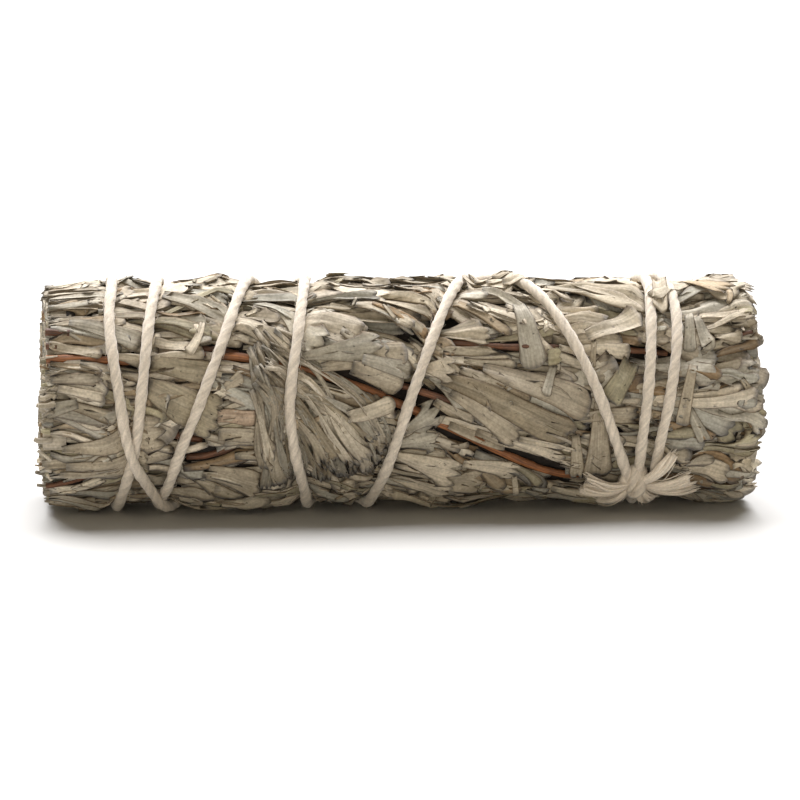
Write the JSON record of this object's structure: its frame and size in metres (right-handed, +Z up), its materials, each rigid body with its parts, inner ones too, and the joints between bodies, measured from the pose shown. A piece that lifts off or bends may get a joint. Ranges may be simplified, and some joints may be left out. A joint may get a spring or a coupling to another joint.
{
  "type": "sage bunch",
  "caption": "Short roll of dried sage sprigs, cut square at both ends and bound criss-cross with cotton cord that ends in a knot with frayed tails.",
  "frame": {"origin": "under the middle of the roll, on the surface that it lies on", "axes": "+X along the roll from the stem butts to the leaf tips, -Y the side that the picture shows, +Z up"},
  "size_m": [0.1036, 0.0351, 0.0333],
  "materials": {
    "dried_sage": "dry, felted grey-green to straw-brown leaf, fully matte",
    "stem_bark": "thin red-brown bark on a woody twig, faintly satin",
    "cotton": "undyed twisted cotton, matte and a little fuzzy"
  },
  "bodies": {
    "root": {"outer_sprig_1_leaves": "dried_sage", "outer_sprig_1_stem": "stem_bark", "outer_sprig_2_leaves": "dried_sage", "outer_sprig_2_stem": "stem_bark", "outer_sprig_3_leaves": "dried_sage", "outer_sprig_3_stem": "stem_bark", "outer_sprig_4_leaves": "dried_sage", "outer_sprig_4_stem": "stem_bark", "outer_sprig_5_leaves": "dried_sage", "outer_sprig_5_stem": "stem_bark", "outer_sprig_6_leaves": "dried_sage", "outer_sprig_6_stem": "stem_bark", "outer_sprig_7_leaves": "dried_sage", "outer_sprig_7_stem": "stem_bark", "outer_sprig_8_leaves": "dried_sage", "outer_sprig_8_stem": "stem_bark", "inner_sprig_1_leaves": "dried_sage", "inner_sprig_1_stem": "stem_bark", "inner_sprig_2_leaves": "dried_sage", "inner_sprig_2_stem": "stem_bark", "inner_sprig_3_leaves": "dried_sage", "inner_sprig_3_stem": "stem_bark", "cotton_cord": "cotton"}
  },
  "joints": []
}
